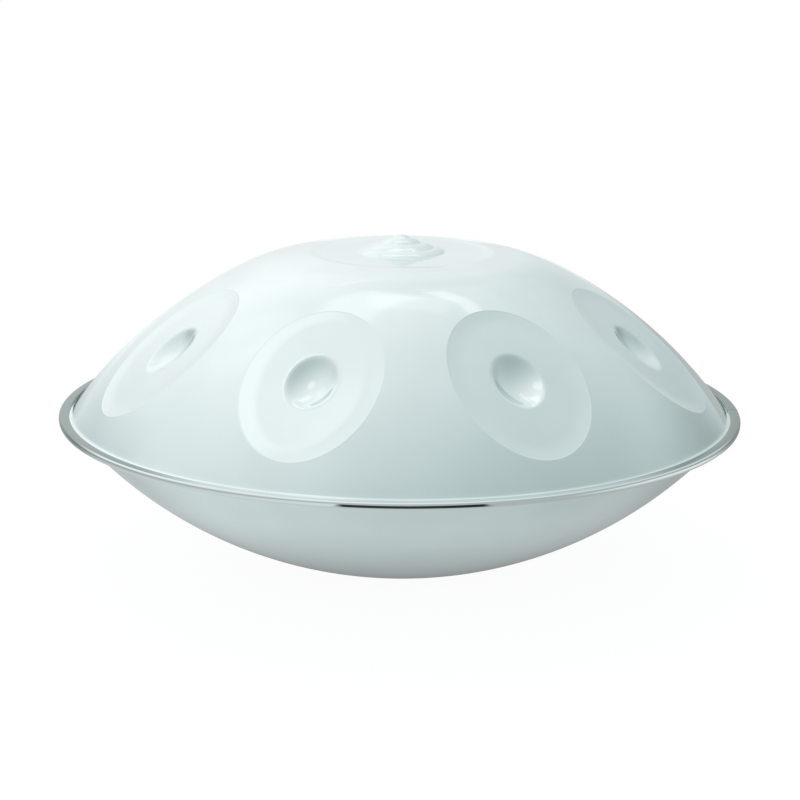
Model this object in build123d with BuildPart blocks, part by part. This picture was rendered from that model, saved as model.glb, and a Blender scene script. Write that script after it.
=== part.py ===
from build123d import *
import os
from math import asin, cos, degrees, radians, sin, sqrt

os.makedirs("parts", exist_ok=True)

# A handpan: two pressed steel shells bonded at their flanges, with a polished
# edge ring crimped over the joint. Millimetres, +Z up. The origin lies on the
# instrument's axis, in the plane of the land that it stands on. The player's
# side is -Y, midway between two tone fields.

# Sheet and rim
sheet = 1.2  # thickness of both shells
bond = 0.3  # thickness of the adhesive between the flanges
bond_setback = 0.4  # from the adhesive to the flat flanges' two edges
rim_radius = 265.0  # outermost radius, over the edge ring
flange_reach = 11.0  # from the shells' feet out to the outermost radius
foot_fillet = 4.0  # outer radius where each shell turns out into its flange
ring_wall = 1.0  # thickness of the edge ring's strip
ring_corner = 1.6  # outer corner radius of its U section
ring_clearance = 0.3  # round the flanges' edge, and to the foot fillet
ring_joint_gap = 0.6  # between the ring's two cut ends
ring_joint_angle = -5.5  # where the cut ends meet, from +X

# Bottom shell
bowl_slope = 50.6  # slope of the bowl at its foot
port_radius = 50.0  # sound port
port_neck = 14.0  # straight height of the neck turned up inside the port
port_fillet = 8.0  # outer radius from the standing land into the neck
land_width = 3.0  # flat land that the instrument stands on
land_blend = 30.0  # outer radius from the land into the bowl

# Top shell: the dome's outer face, as radii and slopes from the crown outwards
crown_radius = 71.0  # edge of the central field
crown_slope = 7.8
crest_radius = 95.5  # rounded crease round the crown
crest_slope = 8.8
crest_fillet = 25.0
shoulder_slope = 13.0  # just outside the crease
flank_radius = 129.0  # where the shoulder runs into the flank
flank_slope = 27.3
foot_slope = 53.4

# Central field and ding
central_band = 6.0  # width of the field's sloping border
central_drop = 0.8  # fall of that border
central_rise = 0.7  # crown of the membrane, from its border to the ding
terrace_widths = (8.6, 10.4, 8.2)  # the ding's terraces, from the outside in
terrace_height = 3.6
terrace_bulge_height = 0.75  # rise of each terrace over its chord
knob_radius = 6.8
knob_height = 2.3

# Tone fields
field_count = 8
field_foot_gap = 13.5  # from a field's lower end to the foot, in plan
field_half_length = 66.5  # along the dome's slope
field_half_width = 51.0
field_band = 10.0  # width of the sloping border
field_drop_side = 1.0  # fall of that border at the field's sides
field_drop_end = 0.55  # and at its two ends
cutter_lift = 1.0  # top of a field's cutter above the dome
dimple_half_length = 23.0
dimple_half_width = 18.5
dimple_depth = 7.0
dimple_rise = 2.0  # from a field's centre up the slope to its dimple's


def fall(radius, start_slope, end_slope):
    """Height lost along an arc of the given radius between two slopes."""
    return radius * (cos(radians(start_slope)) - cos(radians(end_slope)))


def reach(radius, start_slope, end_slope):
    """Horizontal distance covered along such an arc."""
    return radius * (sin(radians(end_slope)) - sin(radians(start_slope)))


def heading(slope):
    """Unit vector that runs outwards and down at the given slope."""
    return (cos(radians(slope)), -sin(radians(slope)))


# Rim and bowl, worked out from the sizes above
foot_radius = rim_radius - flange_reach
flange_radius = rim_radius - ring_wall - ring_clearance
bowl_radius = foot_radius / sin(radians(bowl_slope))
land_end = port_radius + port_fillet + land_width
land_slope = degrees(asin(land_end / (bowl_radius - land_blend)))
bowl_height = fall(land_blend, 0, land_slope) + fall(bowl_radius, land_slope, bowl_slope)
bowl_flange = bowl_height + fall(foot_fillet, 0, bowl_slope)  # underside of the bottom flange
dome_flange = bowl_flange + sheet + bond  # underside of the top flange

# Dome, as (radius, start slope, end slope) of its arcs
crest_reach = reach(crest_fillet, crest_slope, shoulder_slope)
crown_curve = (crest_radius - crown_radius) / reach(1, crown_slope, crest_slope)
shoulder_span = flank_radius - crest_radius - crest_reach
shoulder_curve = shoulder_span / reach(1, shoulder_slope, flank_slope)
flank_curve = (foot_radius - flank_radius) / reach(1, flank_slope, foot_slope)
dome_arcs = (
    (crown_curve, crown_slope, crest_slope),
    (crest_fillet, crest_slope, shoulder_slope),
    (shoulder_curve, shoulder_slope, flank_slope),
    (flank_curve, flank_slope, foot_slope),
)
foot_height = dome_flange + sheet + fall(foot_fillet, 0, foot_slope)
crown_height = foot_height + sum(fall(*arc) for arc in dome_arcs)
ding_radius = knob_radius + sum(terrace_widths)
ding_base = crown_height - central_drop + central_rise

# A tone field's centre on the flank, and how far the dome curves away below it
field_end = foot_radius - field_foot_gap
field_end_sine = sin(radians(flank_slope)) + (field_end - flank_radius) / flank_curve
field_slope = degrees(asin(field_end_sine)) - degrees(field_half_length / flank_curve)
field_radius = flank_radius + reach(flank_curve, flank_slope, field_slope)
field_height = foot_height + fall(flank_curve, field_slope, foot_slope)
hoop_curve = field_radius / sin(radians(field_slope))
end_sag = flank_curve - sqrt(flank_curve**2 - field_half_length**2)
side_sag = hoop_curve - sqrt(hoop_curve**2 - field_half_width**2)
membrane_depth = side_sag + field_drop_side
band_depth = end_sag + field_drop_end
membrane_bow = band_depth - membrane_depth  # how much lower the membrane lies at its ends
membrane_half_length = field_half_length - field_band
membrane_curve = (membrane_half_length**2 + membrane_bow**2) / (2 * membrane_bow)
ball_radius = (dimple_half_width**2 + dimple_depth**2) / (2 * dimple_depth)
ball_length = ball_radius * dimple_half_length / dimple_half_width


def band_ellipse(height):
    """Semi-axes of the sloping border's cone, at a height over the tangent plane."""
    along = field_half_length + (height + end_sag) * field_band / field_drop_end
    across = field_half_width + (height + side_sag) * field_band / field_drop_side
    return along, across


def field_cutter(depth):
    """What one tone field takes out of the dome, sunk by depth along the field's normal."""
    slope = radians(field_slope)
    centre = (field_radius - depth * sin(slope), 0, field_height - depth * cos(slope))
    tangent = Plane(centre, x_dir=(cos(slope), 0, -sin(slope)), z_dir=(sin(slope), 0, cos(slope)))
    ball_lift = ball_radius - membrane_depth - dimple_depth
    ball_centre = Plane(
        tangent.origin - tangent.x_dir * dimple_rise + tangent.z_dir * ball_lift,
        x_dir=tangent.x_dir,
        z_dir=tangent.z_dir,
    )
    with BuildPart(tangent) as cutter:
        # sloping border, as a wide flat cone
        for height in (-band_depth, cutter_lift):
            with BuildSketch(tangent.offset(height)):
                Ellipse(*band_ellipse(height))
        loft()
        # membrane, very slightly bowed along the slope
        with Locations((0, 0, -membrane_depth - membrane_curve)):
            Cylinder(
                membrane_curve,
                4 * field_half_length,
                rotation=(90, 0, 0),
                mode=Mode.SUBTRACT,
            )
        # dimple
        with BuildSketch(ball_centre):
            with BuildLine():
                EllipticalCenterArc((0, 0), ball_length, ball_radius, 0, arc_size=180)
                Line((ball_length, 0), (-ball_length, 0))
            make_face()
        revolve(axis=Axis(ball_centre.origin, ball_centre.x_dir))
    return cutter.part


def dome_solid(depth):
    """The solid under the dome's outer face, lowered by depth along its normal."""
    cutter = field_cutter(depth)
    base = dome_flange - depth
    out, down = heading(crown_slope)
    edge = (crown_radius + down * depth, crown_height - out * depth)
    with BuildPart() as dome:
        with BuildSketch(Plane.XZ):
            with BuildLine():
                # flank, shoulder and crown
                point, tangent = edge, heading(crown_slope)
                for radius, start_slope, end_slope in dome_arcs:
                    arc = JernArc(point, tangent, radius - depth, start_slope - end_slope)
                    point, tangent = arc @ 1, arc % 1
                foot = JernArc(point, tangent, foot_fillet + depth, foot_slope)
                # central field and ding
                membrane = (crown_radius - central_band, crown_height - central_drop - depth)
                Polyline(edge, membrane, (ding_radius, ding_base - depth))
                radius, height = ding_radius, ding_base - depth
                for width in terrace_widths:
                    inner = (radius - width, height + terrace_height)
                    SagittaArc((radius, height), inner, -terrace_bulge_height)
                    radius, height = inner
                apex = (0, height + knob_height)
                TangentArc(apex, (radius, height), tangent=(1, 0))
                Polyline(apex, (0, base), ((foot @ 1).X, base), foot @ 1)
            make_face()
        revolve(axis=Axis.Z)
        with PolarLocations(0, field_count, start_angle=180 / field_count):
            add(cutter, mode=Mode.SUBTRACT)
    return dome.part


# Top shell: the dome and its flange, hollowed from below
dome_outside = dome_solid(0)
dome_inside = dome_solid(sheet)
with BuildPart() as top_shell:
    with BuildSketch(Plane.XY.offset(dome_flange)):
        Circle(flange_radius)
    extrude(amount=sheet)
    add(dome_outside)
    add(dome_inside, mode=Mode.SUBTRACT)
top_shell.part.label = "top_shell"
export_step(top_shell.part, "parts/top_shell.step")

# Bottom shell: its outer face from the neck's top to the flange's edge, thickened inwards
with BuildPart() as bottom_shell:
    with BuildSketch(Plane.XZ):
        with BuildLine():
            neck = Line((port_radius, port_fillet + port_neck), (port_radius, port_fillet))
            lip = JernArc(neck @ 1, neck % 1, port_fillet, 90)
            land = Line(lip @ 1, (land_end, 0))
            blend = JernArc(land @ 1, land % 1, land_blend, land_slope)
            bowl = JernArc(blend @ 1, blend % 1, bowl_radius, bowl_slope - land_slope)
            foot = JernArc(bowl @ 1, bowl % 1, foot_fillet, -bowl_slope)
            Line(foot @ 1, (flange_radius, bowl_flange))
            offset(amount=sheet, side=Side.LEFT)
        make_face()
    revolve(axis=Axis.Z)
bottom_shell.part.label = "bottom_shell"
export_step(bottom_shell.part, "parts/bottom_shell.step")

# Adhesive between the flanges, where both of them are flat
bond_inner = foot_radius + reach(foot_fillet, 0, foot_slope) + bond_setback
with BuildPart() as flange_adhesive:
    with BuildSketch(Plane.XY.offset(bowl_flange + sheet)):
        Circle(flange_radius - bond_setback)
        Circle(bond_inner, mode=Mode.SUBTRACT)
    extrude(amount=bond)
flange_adhesive.part.label = "flange_adhesive"
export_step(flange_adhesive.part, "parts/flange_adhesive.step")

# Edge ring: a U section crimped over both flanges, with a butt joint
ring_inner = foot_radius + reach(foot_fillet, 0, foot_slope) + ring_clearance
ring_leg = rim_radius - ring_inner
channel_height = 2 * sheet + bond
ring_height = channel_height + 2 * ring_wall
with BuildPart() as rim_ring:
    with BuildSketch(Plane.XZ) as section:
        with Locations(((ring_inner + rim_radius) / 2, bowl_flange + channel_height / 2)):
            Rectangle(ring_leg, ring_height)
        fillet(section.vertices().group_by(Axis.X)[-1], ring_corner)
        with Locations((ring_inner, bowl_flange + channel_height / 2)):
            Rectangle(
                2 * (flange_radius + ring_clearance - ring_inner),
                channel_height,
                mode=Mode.SUBTRACT,
            )
    revolve(axis=Axis.Z)
    with PolarLocations(rim_radius, 1, start_angle=ring_joint_angle):
        with Locations((0, 0, bowl_flange)):
            Box(4 * ring_leg, ring_joint_gap, 4 * ring_height, mode=Mode.SUBTRACT)
rim_ring.part.label = "rim_ring"
export_step(rim_ring.part, "parts/rim_ring.step")
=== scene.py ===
"""A handpan: two pressed steel shells joined at a polished edge ring.

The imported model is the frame. This script dresses it with the finished top
shell, its eight dished tone fields and stepped centre, the bottom shell with
its sound port, the edge ring and the bond line, and then sets the floor, the
light and the camera. Lengths are in metres, +Z is up and the player's side
is -Y.
"""

import logging
import math
from dataclasses import dataclass, field
from enum import Enum
from typing import Any, Mapping, Sequence

import bmesh
import bpy
import numpy as np
from mathutils import Matrix, Vector


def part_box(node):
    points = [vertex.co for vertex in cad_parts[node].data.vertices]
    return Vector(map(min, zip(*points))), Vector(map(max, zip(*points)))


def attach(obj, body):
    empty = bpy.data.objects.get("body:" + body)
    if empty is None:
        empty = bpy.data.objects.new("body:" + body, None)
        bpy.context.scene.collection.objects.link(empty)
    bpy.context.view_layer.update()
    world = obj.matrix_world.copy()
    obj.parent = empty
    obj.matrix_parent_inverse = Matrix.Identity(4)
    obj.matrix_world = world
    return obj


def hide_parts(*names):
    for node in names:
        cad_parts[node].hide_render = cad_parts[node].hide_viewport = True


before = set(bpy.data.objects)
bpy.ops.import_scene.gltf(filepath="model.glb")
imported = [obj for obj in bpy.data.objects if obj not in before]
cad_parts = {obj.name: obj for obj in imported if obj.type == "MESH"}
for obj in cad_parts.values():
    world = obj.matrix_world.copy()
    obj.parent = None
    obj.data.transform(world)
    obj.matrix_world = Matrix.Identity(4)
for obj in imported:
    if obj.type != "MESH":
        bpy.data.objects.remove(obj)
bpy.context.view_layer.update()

LOG = logging.getLogger("handpan")
MM = 0.001
WELD = 0.004 * MM  # points nearer than this are merged
Array = np.ndarray
Value = Any
Span = tuple[float, float]
Colour = tuple[float, float, float]


# ---------------------------------------------------------------- node boards


class Wire:
    """A socket of a node tree, with arithmetic that adds Math nodes."""

    def __init__(self, board: "Board", socket: bpy.types.NodeSocket) -> None:
        """Keeps the socket and the board it stands on."""
        self.board = board
        self.socket = socket

    def _math(self, operation: str, *values: Value) -> "Wire":
        """Adds one Math node.

        Args:
            operation: The node's operation, such as "ADD".
            values: Its operands, wires or numbers.

        Returns:
            The node's result.
        """
        return self.board.add(
            "ShaderNodeMath", {"operation": operation}, dict(enumerate(values))
        )

    def __add__(self, other: Value) -> "Wire":
        """Sum."""
        return self._math("ADD", self, other)

    def __radd__(self, other: Value) -> "Wire":
        """Sum, from the right."""
        return self._math("ADD", other, self)

    def __sub__(self, other: Value) -> "Wire":
        """Difference."""
        return self._math("SUBTRACT", self, other)

    def __rsub__(self, other: Value) -> "Wire":
        """Difference, from the right."""
        return self._math("SUBTRACT", other, self)

    def __mul__(self, other: Value) -> "Wire":
        """Product."""
        return self._math("MULTIPLY", self, other)

    def __rmul__(self, other: Value) -> "Wire":
        """Product, from the right."""
        return self._math("MULTIPLY", other, self)

    def __truediv__(self, other: Value) -> "Wire":
        """Quotient."""
        return self._math("DIVIDE", self, other)

    def __rtruediv__(self, other: Value) -> "Wire":
        """Quotient, from the right."""
        return self._math("DIVIDE", other, self)

    def call(self, operation: str, *others: Value) -> "Wire":
        """Any other Math operation, such as "SINE" or "MAXIMUM", on this wire."""
        return self._math(operation, self, *others)

    def step(self, low: float, high: float) -> "Wire":
        """A smooth step from 0 at low to 1 at high."""
        return self.board.add(
            "ShaderNodeMapRange",
            {"interpolation_type": "SMOOTHSTEP"},
            {"Value": self, "From Min": low, "From Max": high},
        )


class Board:
    """A node tree and the one method that adds nodes to it."""

    def __init__(self, tree: bpy.types.NodeTree) -> None:
        """Takes the tree and clears it."""
        self.tree = tree
        tree.nodes.clear()

    def node(
        self,
        kind: str,
        settings: Mapping[str, Value] | None = None,
        values: Mapping[Any, Value] | None = None,
    ) -> bpy.types.Node:
        """Adds a node.

        Args:
            kind: The node's type.
            settings: Its own settings, set first.
            values: What its inputs are given, by name or number: a wire, a
                number or a colour.

        Returns:
            The node.
        """
        made = self.tree.nodes.new(kind)
        for name, value in (settings or {}).items():
            setattr(made, name, value)
        for name, value in (values or {}).items():
            socket = self._socket(made.inputs, name)
            if isinstance(value, Wire):
                self.tree.links.new(value.socket, socket)
            else:
                socket.default_value = value
        return made

    def add(
        self,
        kind: str,
        settings: Mapping[str, Value] | None = None,
        values: Mapping[Any, Value] | None = None,
        output: str | int = 0,
    ) -> Wire:
        """Adds a node and gives one of its outputs as a wire."""
        return self.out(self.node(kind, settings, values), output)

    def out(self, node: bpy.types.Node, output: str | int) -> Wire:
        """One output of a node, by name or number, as a wire."""
        return Wire(self, self._socket(node.outputs, output))

    def parts(self, vector: Wire) -> tuple[Wire, Wire, Wire]:
        """A vector's three numbers."""
        node = self.node("ShaderNodeSeparateXYZ", values={0: vector})
        return tuple(self.out(node, axis) for axis in "XYZ")

    def colours(self, factor: Value, first: Value, second: Value) -> Wire:
        """Two colours, mixed."""
        values = {"Factor": factor, "A": first, "B": second}
        return self.add("ShaderNodeMix", {"data_type": "RGBA"}, values, "Result")

    def shaders(self, factor: Value, first: Wire, second: Wire) -> Wire:
        """Two shaders, mixed."""
        return self.add("ShaderNodeMixShader", values={0: factor, 1: first, 2: second})

    @staticmethod
    def _socket(sockets: Any, name: str | int) -> bpy.types.NodeSocket:
        """The socket of that number, or of that name and in use."""
        if isinstance(name, int):
            return sockets[name]
        return next(s for s in sockets if s.name == name and s.enabled)


@dataclass(frozen=True)
class Ramp:
    """A smooth change, from nothing at its start to its gain at its end."""

    start: float
    end: float
    gain: float = 1.0

    def over(self, place: Wire) -> Wire:
        """What it comes to at a place."""
        return place.step(self.start, self.end) * self.gain


def new_material(name: str) -> tuple[bpy.types.Material, Board]:
    """Starts a material.

    Args:
        name: Its name.

    Returns:
        The material and the board of its tree.
    """
    made = bpy.data.materials.new(name)
    made.use_nodes = True
    return made, Board(made.node_tree)


# ---------------------------------------------------------------- finishes


class Slot(Enum):
    """The names of the material slots of the steel pieces."""

    SHELL = "shell_steel"
    RING = "polished_steel"


@dataclass(frozen=True)
class Noise:
    """A cloudy pattern over a surface: its clouds' size, its layers and their strength."""

    size: float
    layers: float
    strength: float = 0.5

    def over(self, board: Board, place: Wire) -> Wire:
        """The pattern, from 0 to 1.

        Args:
            board: The material's board.
            place: The surface's coordinates.

        Returns:
            Its value.
        """
        values = {
            "Vector": place,
            "Scale": 1 / self.size,
            "Detail": self.layers,
            "Roughness": self.strength,
        }
        return board.add("ShaderNodeTexNoise", {"normalize": True}, values, "Fac")


@dataclass(frozen=True)
class RingShade:
    """Where painted shade darkens the edge ring's colour.

    Its legs, apart from the front, and its rounded outside at the left and right
    ends take a dark painted shade. The rest of its rounded outside and its whole
    front keep the polished steel's colour.
    """

    # The painted shade's colour: a dark green-grey that stands for the dark reflections on the
    # ring.
    painted_shade_colour: Colour = (0.18, 0.25, 0.235)
    outside: Ramp = Ramp(263.0 * MM, 263.6 * MM)
    shaded_ends: Ramp = Ramp(218.0 * MM, 250.0 * MM)
    back: Ramp = Ramp(100.0 * MM, 200.0 * MM)
    past_front: Ramp = Ramp(-235.0 * MM, -170.0 * MM)

    def unshaded_share(self, x: Wire, y: Wire) -> Wire:
        """How far the ring keeps its polished colour at a place, against the painted shade.

        Args:
            x: The place's distance to the right of the axis.
            y: Its distance behind the axis.

        Returns:
            A share from 0, painted shade, to 1, polished.
        """
        # Painted shade at the left and right ends, but not behind.
        end_shade = self.shaded_ends.over(x.call("ABSOLUTE")) * (1.0 - self.back.over(y))
        rounded = self.outside.over((x * x + y * y).call("SQRT")) * (1.0 - end_shade)
        return rounded.call("MAXIMUM", 1.0 - self.past_front.over(y))


@dataclass(frozen=True)
class Steel:
    """A bare steel finish.

    The colour drifts a little over the sheet in slow clouds, the gloss is
    broken by faint smears, and two bumps give the pressed sheet's waves and its
    fine grain. The drift and the smear are shares of the colour and the
    roughness, and the depths are heights.
    """

    name: str
    colour: Colour
    roughness: float
    ring_shade: RingShade | None = None
    drift: float = 0.03
    clouds: Noise = Noise(90.0 * MM, 3.0)
    cloud_edges: Span = (0.3, 0.7)
    smear: float = 0.05
    smears: Noise = Noise(22.0 * MM, 4.0, 0.6)
    wave_depth: float = 0.2 * MM
    waves: Noise = Noise(55.0 * MM, 1.0)
    grain_depth: float = 0.0025 * MM
    grain: Noise = Noise(1.1 * MM, 2.0, 0.7)

    def material(self) -> bpy.types.Material:
        """Builds the finish.

        Returns:
            The material, which reads Object coordinates alone.
        """
        made, board = new_material(self.name)
        place = board.add("ShaderNodeTexCoord", output="Object")

        def bump(noise: Noise, depth: float, **under: Wire) -> Wire:
            """The normal of that relief, over another one if it is given."""
            height = noise.over(board, place)
            values = {"Height": height, "Strength": 1.0, "Distance": depth, **under}
            return board.add("ShaderNodeBump", values=values, output="Normal")

        dark = tuple(c * (1 - self.drift) for c in self.colour)
        light = tuple(min(1.0, c * (1 + self.drift)) for c in self.colour)
        cloud = self.clouds.over(board, place).step(*self.cloud_edges)
        colour = board.colours(cloud, (*dark, 1.0), (*light, 1.0))
        smeared = self.smears.over(board, place) * (2 * self.smear * self.roughness)
        gloss = self.roughness * (1 - self.smear) + smeared
        # On the edge ring, painted shade darkens the colour on the legs and at the ends.
        if self.ring_shade:
            x, y, _ = board.parts(place)
            colour = board.colours(self.ring_shade.unshaded_share(x, y), (*self.ring_shade.painted_shade_colour, 1.0), colour)
        waves = bump(self.waves, self.wave_depth)
        grain = bump(self.grain, self.grain_depth, Normal=waves)
        values = {"Base Color": colour, "Metallic": 1.0, "Roughness": gloss, "Normal": grain}
        shader = board.add("ShaderNodeBsdfPrincipled", values=values)
        board.node("ShaderNodeOutputMaterial", values={"Surface": shader})
        return made


@dataclass(frozen=True)
class Resin:
    """A cured adhesive, matt and a little cloudy."""

    name: str
    colour: Colour
    roughness: float
    clouds: Noise = Noise(10.0 / 3.0 * MM, 2.0)
    shade: float = 0.8
    dulling: float = 0.15

    def material(self) -> bpy.types.Material:
        """Builds the finish.

        Returns:
            The material, which reads Object coordinates alone.
        """
        made, board = new_material(self.name)
        place = board.add("ShaderNodeTexCoord", output="Object")
        cloud = self.clouds.over(board, place)
        shade = tuple(c * self.shade for c in self.colour)
        colour = board.colours(cloud, (*shade, 1.0), (*self.colour, 1.0))
        gloss = self.roughness + cloud * self.dulling
        values = {"Base Color": colour, "Roughness": gloss}
        shader = board.add("ShaderNodeBsdfPrincipled", values=values)
        board.node("ShaderNodeOutputMaterial", values={"Surface": shader})
        return made


SHELL_STEEL = Steel("satin_shell_steel", (0.77, 0.87, 0.875), 0.08)
# The edge ring's steel, with painted shade on its legs and at its ends.
RING_STEEL = Steel(
    "polished_ring_steel", (0.74, 0.80, 0.80), 0.04, RingShade(), drift=0.015, wave_depth=0.03 * MM
)
BOND_RESIN = Resin("cured_bond_resin", (0.70, 0.69, 0.64), 0.55)


# ---------------------------------------------------------------- profiles


class Profile:
    """A line in the half plane of radius and height, drawn by runs and bends."""

    def __init__(self, radius: float, height: float, slope: float) -> None:
        """Starts the line.

        Args:
            radius: Distance from the axis.
            height: Height over the floor.
            slope: Heading in degrees below the outward level.
        """
        self.slope = slope
        self.points: list[tuple[float, float]] = [(radius, height)]
        self.slopes: list[float] = [slope]

    def run(self, length: float, steps: int = 1) -> "Profile":
        """Goes straight on.

        Args:
            length: How far.
            steps: How many chords it is drawn with.

        Returns:
            The profile itself.
        """
        radius, height = self.points[-1]
        slope = math.radians(self.slope)
        for i in range(1, steps + 1):
            part = length * i / steps
            self._put(radius + part * math.cos(slope), height - part * math.sin(slope))
        return self

    def bend(self, size: float, turn: float, steps: int) -> "Profile":
        """Goes round an arc.

        Args:
            size: The arc's radius.
            turn: Degrees that it steepens the line by, or eases it if negative.
            steps: How many chords it is drawn with.

        Returns:
            The profile itself.
        """
        radius, height = self.points[-1]
        start = self.slope
        side = math.copysign(size, turn)
        for i in range(1, steps + 1):
            self.slope = start + turn * i / steps
            a, b = math.radians(start), math.radians(self.slope)
            out, down = math.sin(b) - math.sin(a), math.cos(a) - math.cos(b)
            self._put(radius + side * out, height - side * down)
        return self

    def _put(self, radius: float, height: float) -> None:
        """Adds a point with the present slope."""
        self.points.append((radius, height))
        self.slopes.append(self.slope)

    def array(self) -> Array:
        """The points, as rows of radius and height."""
        return np.array(self.points)

    def thickened(self, wall: float, cap_steps: int = 6) -> Array:
        """The closed outline of a strip whose outer face is this line.

        Args:
            wall: Thickness, to the line's right as it goes outwards.
            cap_steps: Chords of the rounding at each free edge.

        Returns:
            The outline's points, the first one repeated at the end.
        """
        face = self.array()
        slopes = np.radians(self.slopes)
        inward = np.c_[-np.sin(slopes), -np.cos(slopes)]
        back = face + inward * wall

        ahead = np.c_[np.cos(slopes), -np.sin(slopes)]
        turns = np.linspace(0, np.pi, cap_steps + 1)[1:-1, None]

        def cap(end: int, first: Array, along: Array) -> Array:
            """A half round at one end, from one face to the other."""
            centre = (face[end] + back[end]) / 2
            return centre + (np.cos(turns) * first + np.sin(turns) * along) * wall / 2

        far = cap(-1, -inward[-1], ahead[-1])
        near = cap(0, inward[0], -ahead[0])
        return np.vstack([face, far, back[::-1], near, face[:1]])


def softened(line: Array, width: float, step: float, coarse: float, bend: float) -> Array:
    """Rounds the corners of a profile that starts on the axis.

    The line is walked in small steps and averaged over a window, then thinned
    where it runs nearly straight.

    Args:
        line: Rows of radius and height, from the axis outwards.
        width: Window of the average.
        step: Spacing of the walk.
        coarse: Longest spacing that is left.
        bend: Most degrees that are left between two chords.

    Returns:
        The rounded line. Its two ends stay where they are.
    """
    along = np.concatenate([[0], np.cumsum(np.hypot(*np.diff(line, axis=0).T))])
    count = int(along[-1] / step)
    places = np.linspace(0, along[-1], count + 1)
    walk = np.stack([np.interp(places, along, part) for part in line.T], axis=1)
    pad = int(width / step / 2)
    head = walk[pad:0:-1] * [-1, 1]
    tail = 2 * walk[-1] - walk[-2 : -pad - 2 : -1]
    wide = np.vstack([head, walk, tail])
    window = np.hanning(2 * pad + 3)[1:-1]
    window /= window.sum()
    smooth = np.stack([np.convolve(part, window, "valid") for part in wide.T], axis=1)
    smooth[0, 0] = 0.0
    smooth[-1] = line[-1]
    heading = np.unwrap(np.arctan2(*np.gradient(smooth, axis=0).T[::-1]))
    kept, last = [0], 0
    for i in range(1, count):
        turned = abs(heading[i] - heading[last])
        if turned > math.radians(bend) or (i - last) * step > coarse:
            kept.append(i)
            last = i
    return smooth[kept + [count]]


# ---------------------------------------------------------------- geometry trees


def new_tree(name: str, inputs: Sequence[tuple[str, str]]) -> Board:
    """Starts a geometry tree.

    Args:
        name: The tree's name.
        inputs: Name and socket type of each input after the geometry.

    Returns:
        Its board.
    """
    tree = bpy.data.node_groups.new(name, "GeometryNodeTree")
    tree.interface.new_socket("Geometry", in_out="INPUT", socket_type="NodeSocketGeometry")
    for label, kind in inputs:
        tree.interface.new_socket(label, in_out="INPUT", socket_type=kind)
    tree.interface.new_socket("Geometry", in_out="OUTPUT", socket_type="NodeSocketGeometry")
    return Board(tree)


def lathe_tree() -> bpy.types.NodeTree:
    """A tree that turns a profile, drawn in the XZ plane, round the Z axis.

    Returns:
        The tree, with inputs for the turn's start and sweep, its segments and
        the finish.
    """
    board = new_tree(
        "lathe",
        [
            ("Segments", "NodeSocketInt"),
            ("Start", "NodeSocketFloat"),
            ("Sweep", "NodeSocketFloat"),
            ("Weld", "NodeSocketFloat"),
            ("Finish", "NodeSocketMaterial"),
        ],
    )
    entry = board.node("NodeGroupInput")
    profile = board.out(entry, "Geometry")
    segments = board.out(entry, "Segments")
    count = board.add(
        "GeometryNodeAttributeDomainSize",
        {"component": "MESH"},
        {"Geometry": profile},
        "Point Count",
    )
    sheet = board.add(
        "GeometryNodeMeshGrid",
        values={
            "Size X": count - 1,
            "Size Y": segments,
            "Vertices X": count,
            "Vertices Y": segments + 1,
        },
        output="Mesh",
    )
    position = board.add("GeometryNodeInputPosition")
    along, across, _ = board.parts(position)
    row = (along + (count - 1) / 2).call("ROUND")
    turn = (across + segments / 2) / segments
    drawn = board.add(
        "GeometryNodeSampleIndex",
        {"data_type": "FLOAT_VECTOR", "domain": "POINT"},
        {"Geometry": profile, "Value": position, "Index": row},
    )
    radius, _, height = board.parts(drawn)
    angle = board.out(entry, "Start") + board.out(entry, "Sweep") * turn
    x, y = radius * angle.call("COSINE"), radius * angle.call("SINE")
    turned = board.add("ShaderNodeCombineXYZ", values={"X": x, "Y": y, "Z": height})
    placed = board.add("GeometryNodeSetPosition", values={"Geometry": sheet, "Position": turned})
    finish_tree(board, entry, placed)
    return board.tree


def ring_of_fields_tree() -> bpy.types.NodeTree:
    """A tree that repeats one sector round the Z axis and welds it to its neighbours.

    Returns:
        The tree, with inputs for the count and first angle, the pieces inside
        and outside the sectors and the finish.
    """
    board = new_tree(
        "ring_of_fields",
        [
            ("Count", "NodeSocketInt"),
            ("First Angle", "NodeSocketFloat"),
            ("Crown", "NodeSocketObject"),
            ("Foot", "NodeSocketObject"),
            ("Weld", "NodeSocketFloat"),
            ("Finish", "NodeSocketMaterial"),
        ],
    )
    entry = board.node("NodeGroupInput")
    count = board.out(entry, "Count")
    places = board.add("GeometryNodePoints", values={"Count": count})
    number = board.add("GeometryNodeInputIndex")
    angle = board.out(entry, "First Angle") + number * (2 * math.pi) / count
    sectors = board.add(
        "GeometryNodeInstanceOnPoints",
        values={
            "Points": places,
            "Instance": board.out(entry, "Geometry"),
            "Rotation": board.add("ShaderNodeCombineXYZ", values={"Z": angle}),
        },
    )
    joined = board.node("GeometryNodeJoinGeometry")
    parts = [board.add("GeometryNodeRealizeInstances", values={"Geometry": sectors})]
    for name in ("Crown", "Foot"):
        values = {"Object": board.out(entry, name)}
        parts.append(board.add("GeometryNodeObjectInfo", values=values, output="Geometry"))
    for part in parts:
        board.tree.links.new(part.socket, joined.inputs[0])
    finish_tree(board, entry, board.out(joined, 0))
    return board.tree


def finish_tree(board: Board, entry: bpy.types.Node, geometry: Wire) -> None:
    """Welds, smooths, realizes and finishes what a tree has made.

    Args:
        board: The tree's board.
        entry: Its group input, with "Weld" and "Finish".
        geometry: What the tree has made so far.
    """
    welded = board.add(
        "GeometryNodeMergeByDistance",
        values={"Geometry": geometry, "Distance": board.out(entry, "Weld")},
    )
    smooth = board.add("GeometryNodeSetShadeSmooth", values={"Geometry": welded})
    real = board.add("GeometryNodeRealizeInstances", values={"Geometry": smooth})
    dressed = board.add(
        "GeometryNodeSetMaterial",
        values={"Geometry": real, "Material": board.out(entry, "Finish")},
    )
    board.node("NodeGroupOutput", values={"Geometry": dressed})


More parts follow.
